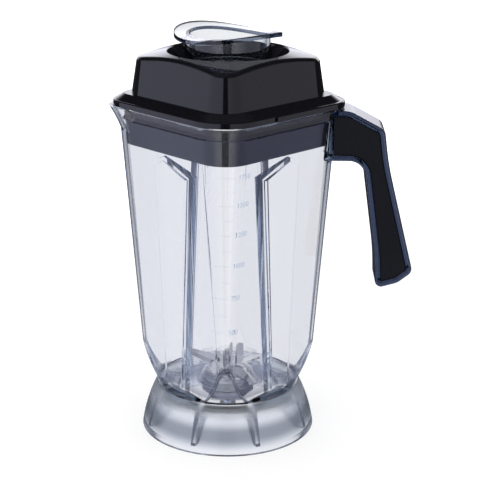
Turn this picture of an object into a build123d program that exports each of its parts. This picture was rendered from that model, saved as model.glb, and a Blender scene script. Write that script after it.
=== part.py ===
from build123d import *
from math import radians, sqrt, tan
import os

# A two-litre blender jar with its lid, filler cap and blade unit.
# Millimetres. The origin is on the jar's axis in the plane of the foot's rim, and +Z is up.
# +X points to the handle and -X to the spout, so the square body stands corner-on.

# Jar body
jar_height = 250.0              # rim above the table
jar_wall = 3.0
body_half_width = 63.4          # axis to the middle of a flat face, at the rim
body_corner = 24.1              # corner radius at the rim
body_draft = 4.57               # taper of the faces and corners towards the floor, in degrees
floor_top = 33.0
floor_thickness = 4.0
floor_radius = 47.0             # flat part of the floor, inside

# Bowl that rounds the corners off towards the floor
bowl_bottom_radius = 52.0
bowl_top_radius = 66.9
bowl_rise = 40.0
bowl_bulge = 2.0

# Flutes, pressed square into the four faces, and placed from the middle of a face towards the handle or spout
flute_wall_top = -19.1          # side wall at the shoulder
flute_wall_foot = 2.1           # side wall at the foot
flute_apex = 3.0                # tip of the pointed head
flute_head = 10.3               # height of the pointed head
flute_shoulder_drop = 42.0      # rim to the foot of the pointed head
flute_fall = 0.5                # slope of the head's outer side
flute_depth_top = 7.1           # along the side wall
flute_depth_foot = 3.7
flute_floor_slope = 0.22        # how the floor runs out towards the handle or spout

# Rim and spout
rim_overhang = 1.8              # rim beyond the faces
rim_corner = 27.0
rim_band = 7.0
rim_step = 2.5
rim_slope = 50.0                # underside of the band, in degrees from upright
rim_round = 1.5
spout_overhang = 5.6            # tip beyond the rim's corner
spout_flare = 3.2               # beyond the body's corner, halfway up the spout
spout_tip_radius = 21.0
spout_drop = 19.0
spout_wall = 2.6
spout_sink = 0.75               # spout's root inside the body's corner

# Foot, a bell-shaped skirt that stands over the motor base
foot_radius = 65.9
foot_top_radius = 54.0
foot_height = 36.0
foot_steepness = 0.45           # share of the foot's taper that is straight, the rest is a curve
foot_wall = 3.2
foot_shoulder = 3.0             # rise of the skirt's top towards the body
register_radius = 62.5          # round mouth that centres the jar on the motor base
register_depth = 4.0
ring_radius = 41.0
ring_wall = 3.0
ring_depth = 5.5
rib_count = 8
rib_thickness = 3.5
rib_foot = 4.6                  # ribs' lower ends above the table
rib_depth = 7.0

# Handle, an open I-section that hangs from the handle corner
handle_half_width = 16.0
handle_top_drop = 1.0           # below the rim
handle_root_height = 37.0
handle_shoulder = 8.6           # level part beyond the corner
handle_shoulder_round = 16.0
elbow_reach = 34.0
elbow_drop = 14.7
elbow_round = 7.0
grip_knee_reach = 37.3
grip_knee_drop = 40.0
grip_sweep = 200.0              # easy bends along the grip
grip_end_reach = 57.7
grip_end_drop = 122.5
grip_end_round = 6.0
grip_heel_reach = 46.8
grip_heel_drop = 131.0
grip_heel_round = 12.0
grip_toe_reach = 30.3
grip_toe_drop = 135.7
grip_toe_round = 4.6
grip_inside_reach = 29.5
grip_inside_drop = 113.0
grip_throat_reach = 18.9
grip_throat_round = 12.0
handle_round = 2.0
pocket_border = 3.8
pocket_root = 3.9               # pocket's end inside the corner
web_thickness = 6.0
grip_clearance = 0.1
grip_recess = 1.2
grip_round = 1.0

# Lid, one rubber moulding
lid_gap = 0.3                   # flange above the rim
lid_wall = 3.5
lid_skirt_depth = 27.0
lid_skirt_gap = 0.7
seal_rib = 0.4
seal_rib_height = 1.4
seal_rib_pitch = 4.2
seal_rib_count = 3
flange_inset = 0.3              # flange inside the rim
flange_tip_corner = 20.0        # corners over the spout and the handle
flange_side_corner = 31.0       # corners to the front and back
flange_thickness = 4.4
flange_round = 1.2
flange_crown = 4.2              # rise from the flange's edge to the dome
flange_crown_slope = 58.0       # in degrees from upright
tab_from = 36.0                 # lifting edge on the handle's side
tab_overhang = 1.5
dome_inset = 8.0                # dome's faces inside the jar's faces, at the flange
dome_corner = 18.8              # corner radius at the flange
dome_draft = 9.0                # taper towards the top, in degrees
dome_height = 35.4              # flange to the rim of the recess
dome_round = 4.0
crown_fall = 0.23
recess_radius = 43.8
recess_draft = 2.0
recess_round = 1.2
recess_depth = 14.0
recess_floor = 4.0
collar_wall = 3.5
collar_depth = 10.0

# Filler cap, a clear open cup with a saddle-shaped rim
cap_radius = 30.5
cap_gap = 0.4
cap_wall = 2.4
cap_depth = 12.0                # below the recess's floor
cap_seat_width = 3.2
cap_seat_height = 3.0
saddle_radius = 39.0
saddle_height = 13.5            # flange's middle above the recess rim
saddle_rise = 5.2               # high corners of the flange above its low ones
saddle_turn = -45.0             # line of the bend in plan, in degrees from the left-right line
saddle_tilt = 1.8               # lean towards the handle, in degrees
saddle_thickness = 3.0

# Shaft and bearings
shaft_radius = 4.0
thread_radius = 3.0
shaft_foot = 8.0
shaft_step = 0.3                # thread's start below the blades
collar_radius = 5.5
collar_height = 3.0
bearing_radius = 11.0
bearing_width = 7.0
inner_race_radius = 6.2
outer_race_bore = 8.9
seat_clearance = 0.02
bearing_spacing = 3.0
spacer_wall = 1.6
lower_bearing_foot = 23.6
ring_clip_thickness = 1.2
ring_clip_grip = 0.8
seal_gap = 0.4
seal_height = 3.6
seal_clearance = 0.05

# Housing
neck_radius = 14.0
neck_clearance = 0.2
housing_foot = 20.6
housing_flange_radius = 21.0
housing_flange_thickness = 1.8
housing_shoulder_radius = 19.0
housing_top_radius = 11.0
seal_bore = 9.2
housing_top = 45.0
housing_bulge = 3.2
gasket_thickness = 1.5
gasket_inset = 1.0
nut_washer_thickness = 1.0
nut_washer_radius = 19.0
retaining_nut_height = 5.0
retaining_nut_flats = 32.0
retaining_nut_clearance = 0.05

# Blades
sleeve_radius = 6.5
blade_level = 47.0
blade_thickness = 1.6
blade_hub_radius = 9.0
blade_width = 15.0
blade_edge = 3.5                # width of the ground edge
blade_land = 0.3                # thickness left at the ground edge
blade_bend = 11.0               # bend line's distance from the axis
blade_sweep = 31.5
blade_taper = 8.0
upper_rise = 7.5
level_rise = 1.0
lower_drop = 6.0
raised_turns = (170, 350)       # turns of the upper blade's raised wings, in degrees
level_turns = (70, 250)         # turns of its flatter wings
dropped_turns = (120, 300)      # turns of the lower blade's wings
blade_tip_round = 2.0
blade_bore_clearance = 0.05
shim_thickness = 0.8
washer_radius = 6.2
washer_thickness = 1.0
blade_nut_flats = 10.0
blade_nut_height = 4.2
thread_stub = 2.2

# Drive socket
socket_foot = 4.6
socket_top = 13.0
socket_radius = 6.2
spline_radius = 3.4
spline_count = 8
spline_depth = 0.8
spline_width = 1.2
socket_clearance = 0.02

# Levels and places that follow from the sizes
rim_half_width = body_half_width + rim_overhang
flange_half_width = rim_half_width - flange_inset
dome_half_width = body_half_width - dome_inset
flute_face = Plane(origin=(0, 0, 0), x_dir=(1, 1, 0), z_dir=(1, -1, 0))
floor_bottom = floor_top - floor_thickness
bowl_top = foot_height + bowl_rise
flute_shoulder = jar_height - flute_shoulder_drop
rim_bottom = jar_height - rim_band
flange_bottom = jar_height + lid_gap
flange_top = flange_bottom + flange_thickness
recess_rim = flange_top + dome_height
recess_bottom = recess_rim - recess_depth
hole_radius = cap_radius + cap_gap
housing_level = floor_top + gasket_thickness
lower_race_top = lower_bearing_foot + bearing_width
upper_bearing_foot = lower_race_top + bearing_spacing
upper_bearing_top = upper_bearing_foot + bearing_width
upper_blade_level = blade_level + blade_thickness + shim_thickness
washer_level = upper_blade_level + blade_thickness
nut_level = washer_level + washer_thickness
shaft_top = nut_level + blade_nut_height + thread_stub
neck_bore = neck_radius + neck_clearance
seal_foot = upper_bearing_top + seal_gap
nut_washer_foot = floor_bottom - nut_washer_thickness
retaining_nut_foot = nut_washer_foot - retaining_nut_height
blade_bore = thread_radius + blade_bore_clearance
far = 200.0                     # reach of a cut that passes right through


def turned(*edges):
    """Solid turned about the jar's axis from edges in radius and height."""
    return revolve(Plane.XZ * make_face([edge for part in edges for edge in part.edges()]), Axis.Z)


def tube(outer, inner, low, high):
    """Plain ring about the jar's axis."""
    section = Circle(outer) - Circle(inner)
    return Plane.XY.offset(low) * extrude(section, amount=high - low)


def hex_nut(flats, bore, low, high):
    """Hexagon nut about the jar's axis, given across its flats."""
    section = RegularPolygon(flats / 2, 6, major_radius=False) - Circle(bore)
    return Plane.XY.offset(low) * extrude(section, amount=high - low)


def rounded_square(half_width, corner, height):
    """Level square section with rounded corners on the X and Y axes."""
    flat = Rot(0, 0, 45) * RectangleRounded(2 * half_width, 2 * half_width, corner)
    return Plane.XY.offset(height) * flat


def body_inset(height):
    """How far the draft has drawn the body in from its size at the rim."""
    return tan(radians(body_draft)) * (jar_height - height)


def body_section(height, inset):
    """Level section of the body, drawn in by an inset."""
    drawn = body_inset(height) + inset
    return rounded_square(body_half_width - drawn, body_corner - drawn, height)


def body_block(low, high, inset):
    """Drafted block of the body's form between two heights, drawn in by an inset."""
    return extrude(body_section(high, inset), amount=low - high, taper=body_draft)


def corner_reach(half_width, corner):
    """Axis to the outermost point of a rounded corner."""
    return (half_width - corner) * sqrt(2) + corner


def mirrored_round(piece):
    """The piece and its mirror images in front, behind, left and right."""
    pair = [piece, mirror(piece, about=Plane.YZ)]
    return pair + [mirror(each, about=Plane.XZ) for each in pair]


def bowl(bottom_radius, bottom, top_radius):
    """Space inside the bowl's curve, open to the top."""
    curve = SagittaArc((bottom_radius, bottom), (top_radius, bowl_top), -bowl_bulge)
    rest = Polyline(
        (top_radius, bowl_top),
        (far, far),
        (far, 2 * far),
        (0, 2 * far),
        (0, bottom),
        (bottom_radius, bottom),
    )
    return turned(curve, rest)


def flute_floor_point(wall, height, depth):
    """Where a flute's side wall meets its floor, on the front face towards the handle."""
    return flute_face.from_local_coords((wall, height, body_half_width - body_inset(height) - depth))


def flute(grow):
    """Cutter of the front flute towards the handle, grown by a wall's thickness."""
    reach = far - flute_apex
    outline = Polyline(
        (flute_wall_foot, foot_height),
        (flute_wall_top, flute_shoulder),
        (flute_apex, flute_shoulder + flute_head),
        (far, flute_shoulder + flute_head - reach * flute_fall),
        (far, foot_height - far),
        (flute_wall_foot, foot_height - far),
        close=True,
    )
    head = make_face(outline)
    if grow:
        head = offset(head, amount=grow, kind=Kind.INTERSECTION)
    block = extrude(flute_face * head, amount=far)
    top = flute_floor_point(flute_wall_top, flute_shoulder, flute_depth_top)
    foot = flute_floor_point(flute_wall_foot, foot_height, flute_depth_foot)
    along = flute_face.from_local_coords((1, 0, flute_floor_slope))
    outward = (foot - top).cross(along).normalized()
    floor = Plane(origin=top - outward * grow, z_dir=outward)
    return split(block, bisect_by=floor, keep=Keep.TOP)


def body_outside():
    """Outer form of the cup, with its flutes."""
    cup = body_block(floor_bottom, jar_height, 0)
    cup = cup & bowl(bowl_bottom_radius, foot_height, bowl_top_radius)
    return cup - mirrored_round(flute(0))


def body_inside():
    """Space inside the cup, with a wall's thickness behind each flute."""
    cup = body_block(floor_top - jar_wall, jar_height + rim_band, jar_wall)
    cup = cup & bowl(floor_radius, floor_top, bowl_top_radius - jar_wall)
    return cup - mirrored_round(flute(jar_wall))


def rim():
    """Thicker band round the mouth, with a sloped underside."""
    section = rounded_square(rim_half_width, rim_corner, rim_bottom)
    band = extrude(section, amount=rim_band)
    band = fillet(band.edges().group_by(Axis.Z)[-1], rim_round)
    return band + extrude(section, amount=-rim_step, taper=rim_slope)


def spout_form(inset):
    """Flared corner opposite the handle, drawn in by an inset."""
    foot = jar_height - spout_drop
    corner = body_corner - body_inset(foot)
    start = corner_reach(body_half_width - body_inset(foot), corner)
    tip = corner_reach(rim_half_width, rim_corner) + spout_overhang
    steps = [
        (foot, start - spout_sink, corner),
        (jar_height - spout_drop / 2, start + spout_flare, (corner + spout_tip_radius) / 2),
        (jar_height, tip, spout_tip_radius),
    ]
    sections = [
        Plane.XY.offset(height) * Pos(radius - reach, 0) * Circle(radius - inset)
        for height, reach, radius in steps
    ]
    return loft(sections)


def foot_radius_at(height):
    """Outer radius of the bell-shaped foot."""
    share = height / foot_height
    curve = foot_steepness * share + (1 - foot_steepness) * share**2
    return foot_radius - (foot_radius - foot_top_radius) * curve


def foot():
    """Bell-shaped skirt, closed at its top by the floor."""
    levels = [0, foot_height / 3, 2 * foot_height / 3, foot_height]
    outside = Spline(*[(foot_radius_at(level), level) for level in levels])
    crown = Polyline(
        (foot_top_radius, foot_height),
        (floor_radius, foot_height + foot_shoulder),
        (0, foot_height + foot_shoulder),
        (0, 0),
        (foot_radius, 0),
    )
    bell = turned(outside, crown)
    steps = [register_depth, (register_depth + floor_bottom) / 2, floor_bottom]
    inner = [(foot_radius_at(step) - foot_wall, step) for step in steps]
    inner[0] = (register_radius, register_depth)
    hollow = turned(
        Spline(*inner),
        Polyline(inner[-1], (0, floor_bottom), (0, 0), (register_radius, 0), inner[0]),
    )
    return bell - hollow


def foot_ribs():
    """Ring under the floor and the ribs that brace the skirt to it."""
    ring = tube(ring_radius, ring_radius - ring_wall, floor_bottom - ring_depth, floor_top)
    inner = ring_radius - ring_wall / 2
    low = floor_bottom - ring_depth
    sunk = floor_bottom + floor_thickness / 4

    def in_wall(height):
        return foot_radius_at(height) - foot_wall / 2

    outline = Polyline(
        (inner, sunk),
        (inner, low),
        (in_wall(rib_foot) - rib_depth, rib_foot),
        (in_wall(rib_foot), rib_foot),
        (in_wall(foot_height / 2), foot_height / 2),
        (in_wall(sunk), sunk),
        close=True,
    )
    rib = extrude(Plane.XZ * make_face(outline), amount=rib_thickness / 2, both=True)
    step = 360 / rib_count
    return [ring] + [Rot(0, 0, step * (turn + 0.5)) * rib for turn in range(rib_count)]


def handle_outline():
    """Side outline of the handle, from the root over the elbow to the open lower end."""
    root = corner_reach(body_half_width, body_corner)
    top = jar_height - handle_top_drop
    low = top - handle_root_height
    inside = root - body_corner
    points = [
        ((inside, top), 0),
        ((root + handle_shoulder, top), handle_shoulder_round),
        ((root + elbow_reach, jar_height - elbow_drop), elbow_round),
        ((root + grip_knee_reach, jar_height - grip_knee_drop), grip_sweep),
        ((root + grip_end_reach, jar_height - grip_end_drop), grip_end_round),
        ((root + grip_heel_reach, jar_height - grip_heel_drop), grip_heel_round),
        ((root + grip_toe_reach, jar_height - grip_toe_drop), grip_toe_round),
        ((root + grip_inside_reach, jar_height - grip_inside_drop), grip_sweep),
        ((root + grip_throat_reach, low), grip_throat_round),
        ((inside, low), 0),
    ]
    return make_face(
        FilletPolyline(
            *[point for point, radius in points],
            radius=[radius for point, radius in points],
            close=True,
        )
    )


def pocket_outline(border):
    """Outline of the side pocket, which ends short of the body."""
    root = corner_reach(body_half_width, body_corner) - pocket_root
    room = Pos(root + border - pocket_border + far / 2, 0) * Rectangle(far, 4 * far)
    return offset(handle_outline(), amount=-border) & room


def handle():
    """I-section handle with a pocket in each side."""
    grip = extrude(Plane.XZ * handle_outline(), amount=handle_half_width, both=True)
    sides = grip.faces().filter_by(Axis.Y)
    grip = fillet(sides.edges(), handle_round)
    pocket = extrude(Plane.XZ.offset(web_thickness / 2) * pocket_outline(pocket_border), amount=far)
    return grip - pocket - mirror(pocket, about=Plane.XZ)


def grip_insert():
    """Black insert of the front pocket."""
    outline = pocket_outline(pocket_border + grip_clearance)
    depth = handle_half_width - grip_recess - web_thickness / 2
    insert = extrude(Plane.XZ.offset(web_thickness / 2) * outline, amount=depth)
    front = insert.faces().sort_by(Axis.Y)[0]
    insert = fillet(front.edges(), grip_round)
    body = rounded_square(rim_half_width + grip_clearance, rim_corner + grip_clearance, 0)
    return insert - extrude(body, amount=jar_height)


def jar():
    """The clear moulding: cup, rim, spout, handle and foot in one piece."""
    hole = Cylinder(neck_bore, 2 * jar_height)
    solid = body_outside() + rim() + spout_form(0) + handle()
    solid = solid + foot() + foot_ribs()
    return solid - body_inside() - spout_form(spout_wall) - hole


def plug_block(low, high, inset):
    """Drafted block of the lid's skirt, which fits inside the mouth."""
    return body_block(low, high, jar_wall + lid_skirt_gap + inset)


def flange_outline():
    """Plan of the lid's flange, with sharper corners over the spout and the handle."""
    flat = Rot(0, 0, 45) * Rectangle(2 * flange_half_width, 2 * flange_half_width)
    tips = flat.vertices().sort_by(Axis.X)
    flat = fillet([tips[0], tips[-1]], flange_tip_corner)
    sides = flat.vertices().sort_by(Axis.Y)
    return fillet([sides[0], sides[-1]], flange_side_corner)


def lid_flange():
    """Flange on the rim, with a wider lifting edge towards the handle."""
    plan = flange_outline()
    room = Pos(tab_from + far / 2, 0) * Rectangle(far, 2 * far)
    plan = plan + (offset(plan, amount=tab_overhang) & room)
    plate = Plane.XY.offset(flange_bottom) * extrude(plan, amount=flange_thickness)
    plate = fillet(plate.edges().group_by(Axis.Z)[-1], flange_round)
    crown = Plane.XY.offset(flange_top) * offset(flange_outline(), amount=-flange_round)
    return plate + extrude(crown, amount=flange_crown, taper=flange_crown_slope)


def dome_block(low, high, inset):
    """Drafted block of the dome's form between two heights, drawn in by an inset."""
    drawn = tan(radians(dome_draft)) * (low - flange_top) + inset
    section = rounded_square(dome_half_width - drawn, dome_corner - drawn, low)
    return extrude(section, amount=high - low, taper=dome_draft)


def lid_dome():
    """Tapered dome whose top rises to the round rim of the recess."""
    sides = dome_block(flange_top - flange_round, recess_rim + flange_thickness, 0)
    edge = recess_rim - crown_fall * (far - recess_radius)
    crown = turned(
        Polyline(
            (0, 0),
            (far, 0),
            (far, edge),
            (recess_radius, recess_rim),
            (0, recess_rim),
            close=True,
        )
    )
    dome = sides & crown
    top = dome.faces().filter_by(GeomType.CONE).sort_by(Axis.Z)[-1]
    outline = [line for line in top.edges() if line.bounding_box().max.Z < recess_rim - flange_round / 2]
    return fillet(outline, dome_round)


def lid():
    """Black rubber lid: sealing skirt, flange, dome, recess and collar in one piece."""
    foot = jar_height - lid_skirt_depth
    skirt = plug_block(foot, flange_top, 0)
    solid = skirt + lid_flange() + lid_dome()
    for rib in range(seal_rib_count):
        level = foot + seal_rib_height + rib * seal_rib_pitch
        bead = body_section(level, jar_wall + lid_skirt_gap - seal_rib)
        solid = solid + extrude(bead, amount=seal_rib_height)
    ceiling = recess_bottom - recess_floor
    solid = solid - plug_block(foot - lid_wall, flange_bottom, lid_wall)
    solid = solid - dome_block(flange_bottom - lid_wall, ceiling, lid_wall)
    lip = (recess_radius, recess_rim - recess_round)
    brim = (recess_radius + recess_round, recess_rim)
    recess = turned(
        RadiusArc(lip, brim, recess_round),
        Polyline(
            brim,
            (recess_radius + recess_round, far * 2),
            (0, far * 2),
            (0, recess_bottom),
            (recess_radius - recess_draft, recess_bottom),
            lip,
        ),
    )
    collar = tube(hole_radius + collar_wall, hole_radius, recess_bottom - collar_depth, recess_bottom)
    hole = Cylinder(hole_radius, 4 * far)
    return solid - recess - hole + collar


def saddle_block(low, high):
    """Block between two heights above the bent flange, which is part of a wide cylinder."""
    bend = saddle_radius**2 / (2 * saddle_rise)
    middle = recess_rim + saddle_height - saddle_rise / 2
    arch = Circle(bend - low) - Circle(bend - high)
    roll = extrude(Plane.XZ * arch, amount=far, both=True)
    return Pos(0, 0, middle + bend) * Rot(0, saddle_tilt, 0) * Rot(0, 0, saddle_turn) * roll


def filler_cap():
    """Clear cup that plugs the lid's hole, with a bent rim to lift it by."""
    foot = recess_bottom - cap_depth
    seat = recess_bottom + lid_gap
    inside = cap_radius - cap_wall
    column = Plane.XY.offset(recess_rim) * extrude(Circle(saddle_radius), amount=2 * saddle_height)
    plate = column & saddle_block(-saddle_thickness, 0)
    wall = tube(cap_radius, inside, foot, recess_rim + 2 * saddle_height)
    cup = wall - saddle_block(0, saddle_height * 2)
    cup = cup + (plate - Cylinder(inside, 4 * far))
    cup = cup + tube(cap_radius + cap_seat_width, inside, seat, seat + cap_seat_height)
    return cup + Plane.XY.offset(foot) * extrude(Circle(cap_radius), amount=cap_wall)


def wing(level, rise, turn):
    """Bent blade wing, ground along its leading edge, turned to its place."""
    half = blade_width / 2
    section = make_face(
        Polyline(
            (-half, 0),
            (half, 0),
            (half, blade_land),
            (half - blade_edge, blade_thickness),
            (-half, blade_thickness),
            close=True,
        )
    )
    path = Polyline((0, 0, level), (blade_bend, 0, level), (blade_sweep, 0, level + rise))
    start = Plane(origin=(0, 0, level), x_dir=(0, 1, 0), z_dir=(1, 0, 0))
    strip = sweep(start * section, path=path, transition=Transition.RIGHT)
    plan = make_face(
        Polyline(
            (-half, -half),
            (blade_bend, -half),
            (blade_sweep, blade_taper - half),
            (blade_sweep, half),
            (-half, half),
            close=True,
        )
    )
    tips = plan.vertices().group_by(Axis.X)[-1]
    plan = fillet(tips, blade_tip_round)
    return Rot(0, 0, turn) * (strip & extrude(plan, amount=far))


def blade(level, wings):
    """Stamped blade: a hub with a wing for each rise and turn."""
    plate = tube(blade_hub_radius, blade_bore, level, level + blade_thickness)
    for rise, turn in wings:
        plate = plate + wing(level, rise, turn)
    return plate - Cylinder(blade_bore, 4 * far)


def blade_shaft():
    """Turned shaft: thread, bearing seat, collar and drive end."""
    step = blade_level - shaft_step
    collar = lower_bearing_foot - collar_height
    return turned(
        Polyline(
            (0, shaft_foot),
            (shaft_radius, shaft_foot),
            (shaft_radius, collar),
            (collar_radius, collar),
            (collar_radius, lower_bearing_foot),
            (shaft_radius, lower_bearing_foot),
            (shaft_radius, step),
            (thread_radius, step),
            (thread_radius, shaft_top),
            (0, shaft_top),
            close=True,
        )
    )


def bearing_housing():
    """Housing that stands through the floor, with a domed top and a groove for the retaining ring."""
    flange_level = housing_level + housing_flange_thickness
    groove = bearing_radius + ring_clip_grip
    groove_foot = lower_bearing_foot - ring_clip_thickness
    curve = SagittaArc(
        (housing_shoulder_radius, flange_level),
        (housing_top_radius, housing_top),
        -housing_bulge,
    )
    rest = Polyline(
        (housing_top_radius, housing_top),
        (seal_bore, housing_top),
        (seal_bore, upper_bearing_top),
        (bearing_radius, upper_bearing_top),
        (bearing_radius, lower_bearing_foot),
        (groove, lower_bearing_foot),
        (groove, groove_foot),
        (bearing_radius, groove_foot),
        (bearing_radius, housing_foot),
        (neck_radius, housing_foot),
        (neck_radius, housing_level),
        (housing_flange_radius, housing_level),
        (housing_flange_radius, flange_level),
        (housing_shoulder_radius, flange_level),
    )
    return turned(curve, rest)


def retaining_ring():
    """Split ring in the housing's groove."""
    outer = bearing_radius + ring_clip_grip - seat_clearance
    inner = outer_race_bore + seat_clearance
    ring = tube(outer, inner, lower_bearing_foot - ring_clip_thickness, lower_bearing_foot)
    split_gap = Pos(0, -outer, lower_bearing_foot) * Box(inner / 2, outer, bearing_width)
    return ring - split_gap


def outer_race(level):
    """Outer race of a ball bearing."""
    return tube(bearing_radius - seat_clearance, outer_race_bore, level, level + bearing_width)


def inner_race(level):
    """Inner race of a ball bearing."""
    return tube(inner_race_radius, shaft_radius + seat_clearance, level, level + bearing_width)


def drive_socket():
    """Splined socket on the shaft's lower end, driven by the motor."""
    body = tube(socket_radius, shaft_radius + socket_clearance, shaft_foot, socket_top)
    body = body + tube(socket_radius, spline_radius, socket_foot, shaft_foot)
    slot = Pos(spline_radius, 0, socket_foot) * Box(
        2 * spline_depth,
        spline_width,
        shaft_foot - socket_foot,
        align=(Align.CENTER, Align.CENTER, Align.MIN),
    )
    step = 360 / spline_count
    return body - [Rot(0, 0, step * turn) * slot for turn in range(spline_count)]


upper_wings = [(upper_rise, turn) for turn in raised_turns] + [(level_rise, turn) for turn in level_turns]
lower_wings = [(-lower_drop, turn) for turn in dropped_turns]

pieces = {
    "jar": jar(),
    "near_grip": grip_insert(),
    "far_grip": mirror(grip_insert(), about=Plane.XZ),
    "lid": lid(),
    "filler_cap": filler_cap(),
    "blade_nut": hex_nut(blade_nut_flats, blade_bore, nut_level, nut_level + blade_nut_height),
    "blade_washer": tube(washer_radius, blade_bore, washer_level, nut_level),
    "upper_blade": blade(upper_blade_level, upper_wings),
    "blade_shim": tube(washer_radius, blade_bore, blade_level + blade_thickness, upper_blade_level),
    "lower_blade": blade(blade_level, lower_wings),
    "blade_sleeve": tube(sleeve_radius, shaft_radius + seat_clearance, upper_bearing_top, blade_level),
    "blade_shaft": blade_shaft(),
    "bearing_housing": bearing_housing(),
    "housing_gasket": tube(
        housing_flange_radius - gasket_inset, neck_bore, floor_top, housing_level
    ),
    "shaft_seal": tube(
        seal_bore - seat_clearance, sleeve_radius + seal_clearance, seal_foot, seal_foot + seal_height
    ),
    "upper_bearing_outer": outer_race(upper_bearing_foot),
    "upper_bearing_inner": inner_race(upper_bearing_foot),
    "lower_bearing_outer": outer_race(lower_bearing_foot),
    "lower_bearing_inner": inner_race(lower_bearing_foot),
    "bearing_spacer": tube(
        shaft_radius + spacer_wall, shaft_radius + seat_clearance, lower_race_top, upper_bearing_foot
    ),
    "retaining_ring": retaining_ring(),
    "nut_washer": tube(nut_washer_radius, neck_bore, nut_washer_foot, floor_bottom),
    "retaining_nut": hex_nut(
        retaining_nut_flats,
        neck_radius + retaining_nut_clearance,
        retaining_nut_foot,
        nut_washer_foot,
    ),
    "drive_socket": drive_socket(),
}

os.makedirs("parts", exist_ok=True)
for name, piece in pieces.items():
    export_step(piece, f"parts/{name}.step")
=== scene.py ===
"""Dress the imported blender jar: clear moulding, rubber lid, grips, blades and a white studio."""

from __future__ import annotations

import logging
import math
from dataclasses import dataclass, field
from enum import Enum

import bmesh
import bpy
from mathutils import Matrix, Vector


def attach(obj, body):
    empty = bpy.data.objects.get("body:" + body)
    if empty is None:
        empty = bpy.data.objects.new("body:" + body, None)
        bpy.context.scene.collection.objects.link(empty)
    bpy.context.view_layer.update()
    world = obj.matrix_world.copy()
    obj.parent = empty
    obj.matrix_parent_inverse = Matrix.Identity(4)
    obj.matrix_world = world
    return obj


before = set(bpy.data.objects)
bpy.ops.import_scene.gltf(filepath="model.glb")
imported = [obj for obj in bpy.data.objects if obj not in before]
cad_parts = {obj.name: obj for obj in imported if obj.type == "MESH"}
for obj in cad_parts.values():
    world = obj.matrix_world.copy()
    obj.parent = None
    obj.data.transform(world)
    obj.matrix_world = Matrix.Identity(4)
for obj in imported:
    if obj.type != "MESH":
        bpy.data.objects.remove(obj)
LOG = logging.getLogger("blender_jar")
MM = 0.001
WHITE = (1.0, 1.0, 1.0)
BLACK = (0.0, 0.0, 0.0)
Colour = tuple[float, float, float]
Place = tuple[float, float, float]
Socket = bpy.types.NodeSocket
Value = Socket | float | Colour


class Ray(Enum):
    """Kinds of light ray that a shader can tell apart."""

    CAMERA = "Is Camera Ray"
    GLOSSY = "Is Glossy Ray"
    TRANSMISSION = "Is Transmission Ray"
    SHADOW = "Is Shadow Ray"


class Along(Enum):
    """Measure that the painted shade over the thick parts follows across a clear moulding."""

    REACH = "towards the handle"
    RADIUS = "away from the jar's axis"


@dataclass(frozen=True)
class Ramp:
    """Smooth change along a reading: start up to the low reading, end from the high one on."""

    low: float
    high: float
    start: float = 0.0
    end: float = 1.0


class Tree:
    """Short way to place and link nodes in one node tree."""

    def __init__(self, tree: bpy.types.NodeTree) -> None:
        """Take the node tree of a material, a world or a group to build in."""
        self.tree = tree

    def add(self, kind: str, inputs: dict | None = None, **settings: object) -> bpy.types.Node:
        """Place a node, set it up and feed its inputs.

        Args:
            kind: node type without its ShaderNode prefix.
            inputs: plain values, or output sockets to link, by socket name or index.
            settings: attributes of the node.

        Returns:
            The new node.
        """
        node = self.tree.nodes.new("ShaderNode" + kind)
        for name, value in settings.items():
            setattr(node, name, value)
        for key, value in (inputs or {}).items():
            self.feed(node.inputs[key], value)
        return node

    def feed(self, socket: Socket, value: Value) -> None:
        """Link an output socket to an input, or set the input's plain value.

        Args:
            socket: the input.
            value: what it takes.
        """
        if isinstance(value, Socket):
            self.tree.links.new(value, socket)
        elif isinstance(value, tuple) and socket.type == "RGBA":
            socket.default_value = (*value, 1.0)
        else:
            socket.default_value = value

    def math(self, operation: str, *values: Value) -> Socket:
        """Work out one number from sockets or plain values."""
        return self.add("Math", dict(enumerate(values)), operation=operation).outputs[0]

    def product(self, first: Value, *others: Value) -> Socket:
        """Multiply two or more numbers.

        Args:
            first: a socket or a plain value.
            others: the numbers to multiply it by.

        Returns:
            The product's socket.
        """
        total = first
        for value in others:
            total = self.math("MULTIPLY", total, value)
        return total

    def length(self, vector: Socket) -> Socket:
        """Length of a vector."""
        return self.add("VectorMath", {0: vector}, operation="LENGTH").outputs["Value"]

    def blend(self, share: Value, first: Value, second: Value) -> Socket:
        """Mix two numbers, with share as the part of the second."""
        return self.add("Mix", {0: share, 2: first, 3: second}).outputs[0]

    def mix(self, share: Value, first: Value, second: Value) -> Socket:
        """Mix two colours, with share as the part of the second."""
        return self.add("Mix", {0: share, 6: first, 7: second}, data_type="RGBA").outputs[2]

    def step(self, value: Value, ramp: Ramp) -> Socket:
        """Smooth change along the value that is read, as the ramp says."""
        inputs = {0: value, 1: ramp.low, 2: ramp.high, 3: ramp.start, 4: ramp.end}
        return self.add("MapRange", inputs, interpolation_type="SMOOTHSTEP").outputs[0]

    def ray(self, kind: Ray) -> Socket:
        """Socket that is 1 for one kind of ray."""
        return self.add("LightPath").outputs[kind.value]


@dataclass(frozen=True)
class Spot:
    """Sockets of the shaded point: its place on the object and the way that its surface looks."""

    reach: Socket
    depth: Socket
    height: Socket
    flat: Socket
    radius: Socket
    normal: Socket

    @classmethod
    def find(cls, kit: Tree, place: Socket) -> Spot:
        """Read the point.

        Args:
            kit: tree of the material.
            place: Object coordinates.

        Returns:
            The point's sockets.
        """
        reach, depth, height = kit.add("SeparateXYZ", {0: place}).outputs
        flat = kit.add("CombineXYZ", {0: reach, 1: depth}).outputs[0]
        return cls(
            reach=reach,
            depth=depth,
            height=height,
            flat=flat,
            radius=kit.length(flat),
            normal=kit.add("NewGeometry").outputs["Normal"],
        )


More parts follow.
